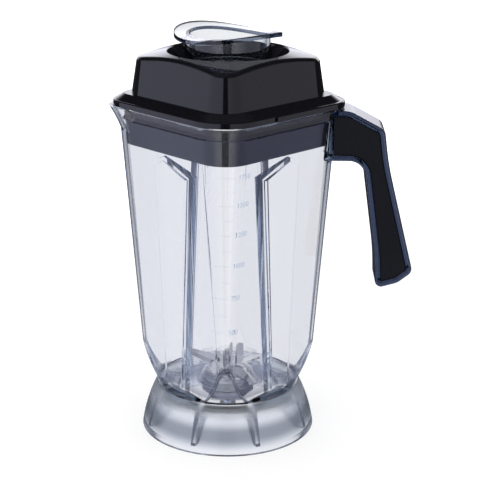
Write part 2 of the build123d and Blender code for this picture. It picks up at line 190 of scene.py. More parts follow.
def new_group(
    name: str, inputs: dict[str, float], outputs: list[str]
) -> tuple[Tree, dict[str, Socket], dict[str, Socket]]:
    """Start a shader node group with a vector input and number sockets.

    Args:
        name: the group's name.
        inputs: default value of each number input by name.
        outputs: names of the outputs.

    Returns:
        The tree, the input sockets and the output sockets, by name.
    """
    tree = bpy.data.node_groups.new(name, "ShaderNodeTree")
    tree.interface.new_socket("Vector", in_out="INPUT", socket_type="NodeSocketVector")
    for label, value in inputs.items():
        socket = tree.interface.new_socket(label, in_out="INPUT", socket_type="NodeSocketFloat")
        socket.default_value = value
    for label in outputs:
        tree.interface.new_socket(label, in_out="OUTPUT", socket_type="NodeSocketFloat")
    entry = tree.nodes.new("NodeGroupInput")
    leave = tree.nodes.new("NodeGroupOutput")
    sources = {socket.name: socket for socket in entry.outputs if socket.name}
    sinks = {socket.name: socket for socket in leave.inputs if socket.name}
    return Tree(tree), sources, sinks


def new_material(name: str) -> tuple[bpy.types.Material, Tree, Socket]:
    """Make an empty node material.

    Args:
        name: the material's name.

    Returns:
        The material, its tree and the Object coordinates' socket.
    """
    material = bpy.data.materials.new(name)
    material.use_nodes = True
    material.node_tree.nodes.clear()
    kit = Tree(material.node_tree)
    return material, kit, kit.add("TexCoord").outputs["Object"]


def across_faces(kit: Tree, x: Socket, y: Socket) -> tuple[Socket, Socket]:
    """Size of a vector along the two directions that the body's four faces look in.

    Args:
        kit: tree of the material.
        x: the vector's part towards the handle.
        y: its part towards the back.

    Returns:
        The sockets of both sizes.
    """
    turn = 1.0 / math.sqrt(2.0)
    first, second = (
        kit.math("ABSOLUTE", kit.product(kit.math(operation, x, y), turn))
        for operation in ("ADD", "SUBTRACT")
    )
    return first, second


@dataclass
class Effects:
    """Shared surface effects, each built once as a node group."""

    grain_detail: float = 3.0
    cell_share: float = 0.6
    hollow: Ramp = Ramp(0.5, 0.95, 1.0, 0.0)
    polish_detail: float = 4.0
    polish_wave: Ramp = Ramp(0.35, 0.75)
    line_detail: float = 2.0

    def __post_init__(self) -> None:
        """Build every group."""
        self.grain = self.build_grain()
        self.haze = self.build_haze()
        self.turned = self.build_turned()

    def build_grain(self) -> bpy.types.NodeTree:
        """Fine moulded grain, as a height and as a mask of its hollows.

        Returns:
            The group's tree.
        """
        kit, source, sink = new_group("moulded_grain", {"Scale": 900.0}, ["Height", "Hollow"])
        spread = {"Vector": source["Vector"], "Scale": source["Scale"]}
        fine = kit.add("TexNoise", {**spread, "Detail": self.grain_detail}).outputs["Fac"]
        cells = kit.add("TexVoronoi", spread, feature="SMOOTH_F1").outputs["Distance"]
        height = kit.math("MULTIPLY_ADD", cells, self.cell_share, fine)
        kit.feed(sink["Height"], height)
        kit.feed(sink["Hollow"], kit.step(height, self.hollow))
        return kit.tree

    def build_haze(self) -> bpy.types.NodeTree:
        """Uneven polish: a slow wave between a low and a high roughness.

        Returns:
            The group's tree.
        """
        inputs = {"Scale": 30.0, "Low": 0.0, "High": 0.1}
        kit, source, sink = new_group("uneven_polish", inputs, ["Roughness"])
        spread = {"Vector": source["Vector"], "Scale": source["Scale"]}
        slow = kit.add("TexNoise", {**spread, "Detail": self.polish_detail}).outputs["Fac"]
        span = kit.math("SUBTRACT", source["High"], source["Low"])
        share = kit.step(slow, self.polish_wave)
        kit.feed(sink["Roughness"], kit.math("MULTIPLY_ADD", share, span, source["Low"]))
        return kit.tree

    def build_turned(self) -> bpy.types.NodeTree:
        """Fine lines that run round the jar's axis, as turning and grinding leave them.

        Returns:
            The group's tree.
        """
        kit, source, sink = new_group("turned_lines", {"Fineness": 4000.0}, ["Height"])
        x, y, z = kit.add("SeparateXYZ", {0: source["Vector"]}).outputs
        radius = kit.length(kit.add("CombineXYZ", {0: x, 1: y}).outputs[0])
        way = kit.product(kit.math("ADD", radius, z), source["Fineness"])
        inputs = {"W": way, "Scale": 1.0, "Detail": self.line_detail}
        lines = kit.add("TexNoise", inputs, noise_dimensions="1D")
        kit.feed(sink["Height"], lines.outputs["Fac"])
        return kit.tree


@dataclass(frozen=True)
class Finish:
    """A finish of one of the object's materials."""

    name: str

    def material(self, effects: Effects) -> bpy.types.Material:
        """Build the material with the shared node groups."""
        raise NotImplementedError


@dataclass(frozen=True)
class Layers:
    """What the parts of a clear moulding differ in: mask of the painted edge shade, colour and
    roughness.
    """

    # Mask of the painted dark shade at the edges that are seen edge-on
    edge: Socket
    colour: Socket
    roughness: Socket


@dataclass(frozen=True)
class ClearPlastic(Finish):
    """Clear plastic with painted dark blue shade where it is seen edge-on and over its thick parts.
    """

    tint: Colour = (0.946, 0.948, 0.966)
    # Painted dark blue shade at the edges that are seen edge-on, by the viewing angle
    edge: Colour = (0.03, 0.045, 0.09)
    edge_blend: float = 0.5
    edge_view: Ramp = Ramp(0.48, 0.74)
    edge_upright: Ramp = Ramp(0.5, 0.75, 1.0, 0.0)
    thick_along: Along = Along.REACH
    thick: Ramp = Ramp(80.0 * MM, 85.0 * MM)
    # Painted dark blue shade over the thick parts
    thick_shade_colour: Colour = (0.05, 0.065, 0.115)
    polish: float = 0.01
    absorption: Colour = (0.66, 0.79, 0.92)
    density: float = 13.0
    ior: float = 1.57

    def edge_shade_mask(self, kit: Tree, spot: Spot) -> Socket:
        """Mask of the painted shade on upright surfaces that are seen edge-on.

        Args:
            kit: tree of the material.
            spot: the shaded point.

        Returns:
            The mask's socket, 1 where the edges get painted shade.
        """
        facing = kit.add("LayerWeight", {"Blend": self.edge_blend}).outputs["Facing"]
        level = kit.math("ABSOLUTE", kit.add("SeparateXYZ", {0: spot.normal}).outputs["Z"])
        return kit.product(kit.step(level, self.edge_upright), kit.step(facing, self.edge_view))

    def thick_shade_mask(self, kit: Tree, spot: Spot) -> Socket:
        """Mask of the painted shade over the thick parts."""
        way = spot.radius if self.thick_along is Along.RADIUS else spot.reach
        return kit.step(way, self.thick)

    def layers(self, kit: Tree, spot: Spot, polish: Socket) -> Layers:
        """Work out what differs from part to part, with the same polish all over."""
        # Colour: clear tint, with painted dark blue shade over the thick parts
        colour = kit.mix(self.thick_shade_mask(kit, spot), self.tint, self.thick_shade_colour)
        return Layers(self.edge_shade_mask(kit, spot), colour, polish)

    def material(self, effects: Effects) -> bpy.types.Material:
        """Build the clear plastic.

        Args:
            effects: shared node groups.

        Returns:
            The material.
        """
        material, kit, place = new_material(self.name)
        spot = Spot.find(kit, place)
        wave = kit.add("Group", {"Vector": place, "High": self.polish}, node_tree=effects.haze)
        layers = self.layers(kit, spot, wave.outputs["Roughness"])
        # Base colour takes the painted edge shade where the surface is seen edge-on
        shell = kit.add(
            "BsdfPrincipled",
            {
                "Base Color": kit.mix(layers.edge, layers.colour, self.edge),
                "Roughness": layers.roughness,
                "IOR": self.ior,
                "Transmission Weight": 1.0,
            },
        ).outputs[0]
        through = kit.add("BsdfTransparent", {0: self.tint}).outputs[0]
        mixed = kit.add("MixShader", {0: kit.ray(Ray.SHADOW), 1: shell, 2: through})
        inside = kit.add("VolumeAbsorption", {"Color": self.absorption, "Density": self.density})
        kit.add("OutputMaterial", {"Surface": mixed.outputs[0], "Volume": inside.outputs[0]})
        return material


@dataclass(frozen=True)
class JarPlastic(ClearPlastic):
    """Clear plastic of the jar, with its frosted foot in painted shade and light, and painted dark
    shade on its folds, waist and crease.
    """

    # Root of the handle, which counts as thick from nearer the axis high up
    root_rise: Ramp = Ramp(206.0 * MM, 210.0 * MM, 0.0, 10.0 * MM)

    # Frosted foot with painted grey shade, a darker painted middle and a painted lighter shoulder,
    # by height, but foot_outside by radius and frost_skin by the way it faces
    edge_rise: Ramp = Ramp(31.0 * MM, 47.0 * MM, 0.15, 1.0)
    frost_fade: Ramp = Ramp(25.0 * MM, 31.0 * MM, 1.0, 0.0)
    frost_foot: Ramp = Ramp(0.0, 7.0 * MM, 0.3, 1.0)
    frost_skin: Ramp = Ramp(0.25, 0.5)
    frost_roughness: float = 0.24
    frost_shade_colour: Colour = (0.74, 0.77, 0.85)
    foot_outside: Ramp = Ramp(47.0 * MM, 51.0 * MM)
    shoulder_lift: float = 7.0 * MM
    shoulder_rise: Ramp = Ramp(25.0 * MM, 31.0 * MM)
    shoulder_roughness: float = 0.6
    shoulder_light_colour: Colour = (0.9, 0.93, 0.97)
    middle_rise: Ramp = Ramp(3.0 * MM, 12.0 * MM)
    middle_fall: Ramp = Ramp(16.0 * MM, 24.0 * MM, 1.0, 0.0)
    middle_shade_colour: Colour = (0.3, 0.33, 0.39)

    # Square body: half its width at the bottom, the flat part of that, and its draft
    face_foot: float = 43.4 * MM
    face_flat: float = 39.3 * MM
    face_draft: float = 0.0799

    # Painted dark shade on the side walls of the flutes: squareness to the face, place on it,
    # height and depth
    fold_shade_colour: Colour = (0.02, 0.028, 0.06)
    fold_across: Ramp = Ramp(0.35, 0.65, 1.0, 0.0)
    fold_beside: Ramp = Ramp(26.0 * MM, 29.0 * MM, 1.0, 0.0)
    fold_out: Ramp = Ramp(36.0 * MM, 38.0 * MM)
    fold_rise: Ramp = Ramp(40.0 * MM, 44.0 * MM)
    fold_fall: Ramp = Ramp(220.0 * MM, 222.0 * MM, 1.0, 0.0)
    fold_inner: Ramp = Ramp(150.0 * MM, 205.0 * MM, 0.4, 0.95)
    fold_lip: Ramp = Ramp(2.2 * MM, 4.2 * MM)
    fold_deepening: Ramp = Ramp(150.0 * MM, 200.0 * MM, 0.0, 2.5 * MM)
    fold_depth: Ramp = Ramp(4.2 * MM, 5.8 * MM, 1.0, 0.0)

    # Painted dark shade on the waist between bowl and foot, and painted grey shade above it on the
    # front half
    waist_rise: Ramp = Ramp(35.0 * MM, 36.5 * MM)
    waist_fall: Ramp = Ramp(39.5 * MM, 41.5 * MM, 1.0, 0.0)
    waist_out: Ramp = Ramp(48.5 * MM, 50.0 * MM)
    waist_sides: Ramp = Ramp(12.0 * MM, 30.0 * MM, 0.1, 0.9)
    dusk_rise: Ramp = Ramp(38.5 * MM, 40.5 * MM, 0.0, 0.5)
    dusk_ease: Ramp = Ramp(39.5 * MM, 49.0 * MM, 1.0, 0.25)
    dusk_fall: Ramp = Ramp(49.0 * MM, 66.0 * MM, 1.0, 0.0)
    front_half: Ramp = Ramp(-30.0 * MM, -5.0 * MM, 1.0, 0.0)

    # Painted dark shade on the crease where the bowl cuts the body's corner: the bowl's curve and
    # the mask's edges
    bowl_foot: float = 36.0 * MM
    bowl_height: float = 40.0 * MM
    bowl_radius: float = 52.0 * MM
    bowl_spread: float = 14.9 * MM
    bowl_swell: float = 7.5 * MM
    crease_skin: Ramp = Ramp(0.4 * MM, 1.2 * MM, 1.0, 0.0)
    crease_cut: Ramp = Ramp(0.4 * MM, 1.4 * MM, 0.9, 0.0)
    crease_rise: Ramp = Ramp(35.0 * MM, 37.0 * MM)
    crease_fall: Ramp = Ramp(69.0 * MM, 72.0 * MM, 1.0, 0.0)

    def edge_shade_mask(self, kit: Tree, spot: Spot) -> Socket:
        """Mask of the painted shade on upright surfaces that are seen edge-on, faint on the foot.
        """
        return kit.product(super().edge_shade_mask(kit, spot), kit.step(spot.height, self.edge_rise))

    def thick_shade_mask(self, kit: Tree, spot: Spot) -> Socket:
        """Mask of the painted shade over the handle, with its thick root at the rim."""
        way = kit.math("ADD", spot.reach, kit.step(spot.height, self.root_rise))
        return kit.step(way, self.thick)

    def layers(self, kit: Tree, spot: Spot, polish: Socket) -> Layers:
        """Work out what differs from part to part.

        Args:
            kit: tree of the material.
            spot: the shaded point.
            polish: roughness of the polished plastic.

        Returns:
            The painted edge shade, the colour with its painted shade and light, and the roughness.
        """
        outside = kit.step(spot.radius, self.foot_outside)
        shoulder = kit.product(outside, kit.step(spot.height, self.shoulder_rise))
        raised = kit.math("MULTIPLY_ADD", outside, -self.shoulder_lift, spot.height)
        frost = kit.product(
            kit.step(raised, self.frost_fade), kit.step(spot.height, self.frost_foot)
        )
        coarse = kit.math("MULTIPLY_ADD", shoulder, self.shoulder_roughness, self.frost_roughness)
        roughness = kit.math("MULTIPLY_ADD", frost, coarse, polish)
        # The frosted foot's colour is painted grey shade, darker in the middle, with painted light
        # at the shoulder
        frosted = self.frosted_shade_and_light(kit, spot, shoulder)
        colour = kit.mix(kit.product(frost, self.skin_mask(kit, spot)), self.tint, frosted)
        colour = kit.mix(self.thick_shade_mask(kit, spot), colour, self.thick_shade_colour)
        # Painted dark shade on the flutes' side walls
        colour = kit.mix(self.fold_shade_mask(kit, spot), colour, self.fold_shade_colour)
        # Painted dark shade on the waist, with painted grey shade and crease shade on the front
        # half
        colour = kit.mix(self.waist_shade_mask(kit, spot), colour, self.fold_shade_colour)
        return Layers(self.edge_shade_mask(kit, spot), colour, roughness)

    def skin_mask(self, kit: Tree, spot: Spot) -> Socket:
        """Mask of surfaces that look away from the jar's axis or towards it.

        Args:
            kit: tree of the material.
            spot: the shaded point.

        Returns:
            The mask's socket, 1 on those surfaces.
        """
        outward = kit.add("VectorMath", {0: spot.flat}, operation="NORMALIZE").outputs[0]
        pair = {0: outward, 1: spot.normal}
        turned = kit.add("VectorMath", pair, operation="DOT_PRODUCT").outputs["Value"]
        return kit.step(kit.math("ABSOLUTE", turned), self.frost_skin)

    def frosted_shade_and_light(self, kit: Tree, spot: Spot, shoulder: Socket) -> Socket:
        """Painted shade and light of the frosted foot: grey, darker in its middle and lighter at
        its shoulder.

        Args:
            kit: tree of the material.
            spot: the shaded point.
            shoulder: mask of the foot's shoulder.

        Returns:
            The colour's socket.
        """
        middle = kit.product(
            kit.step(spot.height, self.middle_rise), kit.step(spot.height, self.middle_fall)
        )
        low = kit.mix(middle, self.frost_shade_colour, self.middle_shade_colour)
        return kit.mix(shoulder, low, self.shoulder_light_colour)

    def fold_shade_mask(self, kit: Tree, spot: Spot) -> Socket:
        """Mask of the painted dark shade on the flutes' side walls, which stand across the four
        faces.

        Args:
            kit: tree of the material.
            spot: the shaded point.

        Returns:
            The mask's socket, 1 on the side walls.
        """
        normal_x, normal_y, _ = kit.add("SeparateXYZ", {0: spot.normal}).outputs
        first, second = across_faces(kit, spot.reach, spot.depth)
        first_normal, second_normal = across_faces(kit, normal_x, normal_y)
        on_first = kit.math("GREATER_THAN", first, second)
        square = kit.blend(on_first, second_normal, first_normal)
        out = kit.math("MAXIMUM", first, second)
        beside = kit.math("MINIMUM", first, second)
        face = kit.math("MULTIPLY_ADD", spot.height, self.face_draft, self.face_foot)
        sunk = kit.math("SUBTRACT", face, out)
        deep = kit.math("SUBTRACT", sunk, kit.step(spot.height, self.fold_deepening))
        inner = kit.step(spot.height, self.fold_inner)
        return kit.product(
            kit.step(square, self.fold_across),
            kit.step(beside, self.fold_beside),
            kit.step(out, self.fold_out),
            kit.step(spot.height, self.fold_rise),
            kit.step(spot.height, self.fold_fall),
            kit.blend(kit.step(sunk, self.fold_lip), 1.0, inner),
            kit.step(deep, self.fold_depth),
        )

    def waist_shade_mask(self, kit: Tree, spot: Spot) -> Socket:
        """Mask of the painted dark shade on the waist above the foot, with the painted grey shade
        and the painted dark crease over its front.

        Args:
            kit: tree of the material.
            spot: the shaded point.

        Returns:
            The mask's socket, 1 where it is darkest.
        """
        line = kit.product(
            kit.step(spot.height, self.waist_rise),
            kit.step(spot.height, self.waist_fall),
            kit.step(spot.radius, self.waist_out),
            kit.step(kit.math("ABSOLUTE", spot.reach), self.waist_sides),
        )
        dusk = kit.product(
            kit.step(spot.height, self.dusk_rise),
            kit.step(spot.height, self.dusk_ease),
            kit.step(spot.height, self.dusk_fall),
        )
        low = kit.math("MAXIMUM", dusk, self.crease_shade_mask(kit, spot))
        front = kit.product(low, kit.step(spot.depth, self.front_half))
        return kit.math("MAXIMUM", line, front)

    def crease_shade_mask(self, kit: Tree, spot: Spot) -> Socket:
        """Mask of the painted dark shade on the creases where the bowl cuts the body's four
        corners.

        Args:
            kit: tree of the material.
            spot: the shaded point.

        Returns:
            The mask's socket, 1 on the creases.
        """
        past_flat = [
            kit.math("MAXIMUM", kit.math("SUBTRACT", side, self.face_flat), 0.0)
            for side in across_faces(kit, spot.reach, spot.depth)
        ]
        span = kit.length(kit.add("CombineXYZ", dict(enumerate(past_flat))).outputs[0])
        rounding = self.face_foot - self.face_flat
        corner = kit.math("MULTIPLY_ADD", spot.height, self.face_draft, rounding)
        scale, shift = 1.0 / self.bowl_height, -self.bowl_foot / self.bowl_height
        share = kit.math("MULTIPLY_ADD", spot.height, scale, shift)
        swell = kit.product(share, kit.math("SUBTRACT", 1.0, share))
        curve = kit.math("MULTIPLY_ADD", swell, self.bowl_swell, self.bowl_radius)
        curve = kit.math("MULTIPLY_ADD", share, self.bowl_spread, curve)
        return kit.product(
            kit.step(kit.math("SUBTRACT", corner, span), self.crease_skin),
            kit.step(kit.math("SUBTRACT", curve, spot.radius), self.crease_cut),
            kit.step(spot.height, self.crease_rise),
            kit.step(spot.height, self.crease_fall),
        )


@dataclass(frozen=True)
class Moulded(Finish):
    """Opaque moulding, from glossy rubber to grained plastic."""

    colour: Colour
    lighter: Colour
    roughness_low: float
    roughness_high: float
    grain_scale: float
    grain_depth: float
    grain_height: float = 0.1 * MM
    specular: float = 0.5

    def material(self, effects: Effects) -> bpy.types.Material:
        """Build the moulded finish.

        Args:
            effects: shared node groups.

        Returns:
            The material.
        """
        material, kit, place = new_material(self.name)
        grain = kit.add(
            "Group", {"Vector": place, "Scale": self.grain_scale}, node_tree=effects.grain
        )
        polish = kit.add(
            "Group",
            {"Vector": place, "Low": self.roughness_low, "High": self.roughness_high},
            node_tree=effects.haze,
        )
        bump = kit.add(
            "Bump",
            {
                "Strength": self.grain_depth,
                "Distance": self.grain_height,
                "Height": grain.outputs["Height"],
            },
        )
        shell = kit.add(
            "BsdfPrincipled",
            {
                "Base Color": kit.mix(grain.outputs["Hollow"], self.lighter, self.colour),
                "Roughness": polish.outputs["Roughness"],
                "Specular IOR Level": self.specular,
                "Normal": bump.outputs[0],
            },
        )
        kit.add("OutputMaterial", {"Surface": shell.outputs[0]})
        return material


@dataclass(frozen=True)
class Steel(Finish):
    """Turned or ground steel with fine lines round the axis."""

    colour: Colour
    roughness_low: float = 0.16
    roughness_high: float = 0.3
    fineness: float = 4000.0
    line_low: float = 0.3
    line_high: float = 0.7
    line_depth: float = 0.12
    line_height: float = 0.05 * MM
    line_shade: float = 0.86

    def material(self, effects: Effects) -> bpy.types.Material:
        """Build the steel.

        Args:
            effects: shared node groups.

        Returns:
            The material.
        """
        material, kit, place = new_material(self.name)
        lines = kit.add(
            "Group", {"Vector": place, "Fineness": self.fineness}, node_tree=effects.turned
        )
        height = lines.outputs["Height"]
        bump = kit.add(
            "Bump",
            {"Strength": self.line_depth, "Distance": self.line_height, "Height": height},
        )
        dim = tuple(self.line_shade * value for value in self.colour)
        gloss = Ramp(self.line_low, self.line_high, self.roughness_low, self.roughness_high)
        shell = kit.add(
            "BsdfPrincipled",
            {
                "Base Color": kit.mix(height, dim, self.colour),
                "Roughness": kit.step(height, gloss),
                "Metallic": 1.0,
                "Normal": bump.outputs[0],
            },
        )
        kit.add("OutputMaterial", {"Surface": shell.outputs[0]})
        return material


def dress(material: bpy.types.Material, *nodes: str) -> None:
    """Give CAD nodes a finish.

    Args:
        material: the finish.
        nodes: names of the nodes.
    """
    for name in nodes:
        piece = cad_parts[name]
        piece.data.materials.clear()
        piece.data.materials.append(material)
        LOG.info("dressed %s in %s", name, material.name)


@dataclass
class MeasureMarks:
    """Measuring scale raised on the moulding: ticks round the front corner, numbers beside them."""

    face: float = 63.4 * MM
    corner: float = 24.1 * MM
    rim: float = 250.0 * MM
    draft: float = math.radians(4.57)
    relief: float = 0.025 * MM
    lift: float = 0.015 * MM
    tick_height: float = 0.7 * MM
    tick_steps: int = 10
    long_tick: tuple[float, float] = (-60.0 * MM, -48.0 * MM)
    short_tick: tuple[float, float] = (-54.0 * MM, -48.0 * MM)
    number_size: float = 5.2 * MM
    number_start: float = -46.5 * MM
    number_resolution: int = 3
    numbered: tuple[tuple[str, float], ...] = (
        ("500", 98.2 * MM),
        ("750", 125.0 * MM),
        ("1000", 149.7 * MM),
        ("1250", 173.0 * MM),
        ("1500", 194.9 * MM),
        ("1750", 215.3 * MM),
    )

    def on_surface(self, along: float, height: float, out: float) -> Vector:
        """Point on the front face towards the handle, or on the rounded front corner beside it.

        Args:
            along: way from the middle of the face, negative towards the front corner.
            height: the point's level.
            out: its distance outside the surface.

        Returns:
            The point in the object's frame.
        """
        drawn = math.tan(self.draft) * (self.rim - height)
        flat = self.face - self.corner
        angle = math.pi / 4
        if along < -flat:
            angle = angle + (along + flat) / (self.corner - drawn)
            along = -flat
        outward = Vector((math.sin(angle), -math.cos(angle), 0.0))
        middle = Vector((1.0, -1.0, 0.0)) * flat + Vector((1.0, 1.0, 0.0)) * along
        middle = middle / math.sqrt(2.0)
        level = Vector((0.0, 0.0, height))
        return middle + outward * (self.corner - drawn + self.lift + out) + level

    def flat_tick(self, length: float) -> bpy.types.Mesh:
        """Make a straight tick, cut across so that it can follow the surface.

        Args:
            length: the tick's length.

        Returns:
            The tick's mesh, round the origin.
        """
        tick = bmesh.new()
        size = Matrix.Diagonal((length, self.tick_height, self.relief, 1.0))
        bmesh.ops.create_cube(tick, size=1.0, matrix=size)
        long_edges = [
            edge for edge in tick.edges if edge.verts[0].co.x * edge.verts[1].co.x < 0.0
        ]
        bmesh.ops.subdivide_edges(tick, edges=long_edges, cuts=self.tick_steps - 1)
        mesh = bpy.data.meshes.new("tick")
        tick.to_mesh(mesh)
        tick.free()
        return mesh

    def flat_number(self, digits: str) -> bpy.types.Mesh:
        """Make a straight number.

        Args:
            digits: what it says.

        Returns:
            The number's mesh, starting at the origin.
        """
        curve = bpy.data.curves.new("number", "FONT")
        curve.body = digits
        curve.size = self.number_size
        curve.extrude = self.relief / 2
        curve.resolution_u = self.number_resolution
        curve.align_y = "CENTER"
        holder = bpy.data.objects.new("number", curve)
        bpy.context.scene.collection.objects.link(holder)
        ready = holder.evaluated_get(bpy.context.evaluated_depsgraph_get())
        mesh = bpy.data.meshes.new_from_object(ready)
        bpy.data.objects.remove(holder)
        bpy.data.curves.remove(curve)
        return mesh

    def lay(
        self, shape: bmesh.types.BMesh, mesh: bpy.types.Mesh, along: float, height: float
    ) -> None:
        """Bend a straight mesh onto the surface and add it to the scale.

        Args:
            shape: the scale.
            mesh: the straight mesh, which is used up.
            along: place of its origin along the surface.
            height: level of its origin.
        """
        for vertex in mesh.vertices:
            across, up, out = vertex.co
            vertex.co = self.on_surface(along + across, height + up, out + self.relief / 2)
        shape.from_mesh(mesh)
        bpy.data.meshes.remove(mesh)

    def add_tick(
        self, shape: bmesh.types.BMesh, height: float, span: tuple[float, float]
    ) -> None:
        """Add a tick to the scale, from the span's start to its end along the surface."""
        start, end = span
        self.lay(shape, self.flat_tick(end - start), (start + end) / 2, height)

    def build(self, material: bpy.types.Material) -> None:
        """Make the scale as one piece that rides on the jar.

        Args:
            material: its finish.
        """
        shape = bmesh.new()
        for digits, height in self.numbered:
            self.add_tick(shape, height, self.long_tick)
            self.lay(shape, self.flat_number(digits), self.number_start, height)
        for (_, low), (_, high) in zip(self.numbered, self.numbered[1:]):
            self.add_tick(shape, (low + high) / 2, self.short_tick)
        bmesh.ops.recalc_face_normals(shape, faces=shape.faces[:])
        mesh = bpy.data.meshes.new("measure_marks")
        shape.to_mesh(mesh)
        shape.free()
        mesh.materials.append(material)
        marks = bpy.data.objects.new("measure_marks", mesh)
        bpy.context.scene.collection.objects.link(marks)
        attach(marks, "jar")
        LOG.info("built %s in %s", marks.name, material.name)


@dataclass
class ClearJar:
    """The clear moulding with its measuring scale and its grips."""

    moulding: JarPlastic = JarPlastic("clear_jar")
    # The scale's edges get a lighter painted grey shade
    scale: ClearPlastic = ClearPlastic("clear_marks", edge=(0.5, 0.53, 0.58))
    grip: Moulded = Moulded(
        "grip_black",
        colour=(0.004, 0.004, 0.0045),
        lighter=(0.008, 0.008, 0.009),
        roughness_low=0.42,
        roughness_high=0.55,
        grain_scale=1400.0,
        grain_depth=0.25,
        specular=0.28,
    )
    marks: MeasureMarks = field(default_factory=MeasureMarks)

    def dress(self, effects: Effects) -> None:
        """Finish the moulding and the inserts of its handle, and add the scale.

        Args:
            effects: shared node groups.
        """
        dress(self.moulding.material(effects), "jar")
        self.marks.build(self.scale.material(effects))
        dress(self.grip.material(effects), "near_grip", "far_grip")


@dataclass
class PushInLid:
    """The black lid and its clear filler cap."""

    rubber: Moulded = Moulded(
        "lid_black",
        colour=(0.005, 0.005, 0.007),
        lighter=(0.007, 0.007, 0.009),
        roughness_low=0.04,
        roughness_high=0.08,
        grain_scale=500.0,
        grain_depth=0.004,
    )
    # Clear cap with painted dark blue shade at its edges seen edge-on and over its thick rim
    cap: ClearPlastic = ClearPlastic(
        "clear_cap",
        tint=(0.93, 0.95, 0.98),
        edge_view=Ramp(0.55, 0.85),
        thick_along=Along.RADIUS,
        thick=Ramp(38.0 * MM, 38.7 * MM),
        thick_shade_colour=(0.05, 0.065, 0.11),
    )

    def dress(self, effects: Effects) -> None:
        """Finish the lid and the cap."""
        dress(self.rubber.material(effects), "lid")
        dress(self.cap.material(effects), "filler_cap")


@dataclass
class BladeUnit:
    """Blades, shaft, housing, bearings and drive."""

    blade: Steel = Steel(
        "blade_steel",
        colour=(0.97, 0.97, 0.98),
        roughness_low=0.06,
        roughness_high=0.14,
        fineness=2500.0,
        line_depth=0.06,
    )
    bright: Steel = Steel("bright_steel", colour=(0.85, 0.85, 0.87))
    bearing: Steel = Steel(
        "bearing_steel", colour=(0.6, 0.6, 0.62), roughness_low=0.08, roughness_high=0.18
    )
    seal: Moulded = Moulded(
        "seal_rubber",
        colour=(0.012, 0.012, 0.012),
        lighter=(0.02, 0.02, 0.02),
        roughness_low=0.5,
        roughness_high=0.65,
        grain_scale=1200.0,
        grain_depth=0.2,
    )
    silicone: Moulded = Moulded(
        "gasket_silicone",
        colour=(0.62, 0.64, 0.67),
        lighter=(0.7, 0.72, 0.74),
        roughness_low=0.4,
        roughness_high=0.55,
        grain_scale=1200.0,
        grain_depth=0.1,
    )
    drive: Steel = Steel(
        "drive_black", colour=(0.05, 0.05, 0.055), roughness_low=0.3, roughness_high=0.42
    )
    bright_pieces: tuple[str, ...] = (
        "blade_nut",
        "blade_washer",
        "blade_shim",
        "blade_sleeve",
        "blade_shaft",
        "bearing_housing",
        "nut_washer",
        "retaining_nut",
    )
    bearing_pieces: tuple[str, ...] = (
        "upper_bearing_outer",
        "upper_bearing_inner",
        "lower_bearing_outer",
        "lower_bearing_inner",
        "bearing_spacer",
        "retaining_ring",
    )

    def dress(self, effects: Effects) -> None:
        """Finish every piece of the unit.

        Args:
            effects: shared node groups.
        """
        dress(self.blade.material(effects), "upper_blade", "lower_blade")
        dress(self.bright.material(effects), *self.bright_pieces)
        dress(self.bearing.material(effects), *self.bearing_pieces)
        dress(self.seal.material(effects), "shaft_seal")
        dress(self.silicone.material(effects), "housing_gasket")
        dress(self.drive.material(effects), "drive_socket")


@dataclass
class Floor:
    """Round floor that the camera sees as white and that keeps the object's shadow."""

    radius: float = 9.0
    segments: int = 96
    grey: Colour = (0.5, 0.5, 0.5)
    glow: Ramp = Ramp(0.25, 0.9, 0.56, 1.2)

    def build(self) -> None:
        """Lay the floor."""
        shape = bmesh.new()
        bmesh.ops.create_circle(
            shape, cap_ends=True, segments=self.segments, radius=self.radius
        )
        mesh = bpy.data.meshes.new("floor")
        shape.to_mesh(mesh)
        shape.free()
        mesh.materials.append(self.material())
        floor = bpy.data.objects.new("floor", mesh)
        floor.visible_glossy = False
        floor.visible_transmission = False
        bpy.context.scene.collection.objects.link(floor)
        LOG.info("built %s", floor.name)

    def material(self) -> bpy.types.Material:
        """Make the matt white, which glows more with the distance for the camera alone.

        Returns:
            The material.
        """
        material, kit, place = new_material("white_floor")
        matte = kit.add("BsdfDiffuse", {0: self.grey}).outputs[0]
        lift = kit.step(kit.length(place), self.glow)
        glow = kit.add("Emission", {0: WHITE, 1: kit.product(kit.ray(Ray.CAMERA), lift)})
        both = kit.add("AddShader", {0: matte, 1: glow.outputs[0]})
        kit.add("OutputMaterial", {"Surface": both.outputs[0]})
        return material


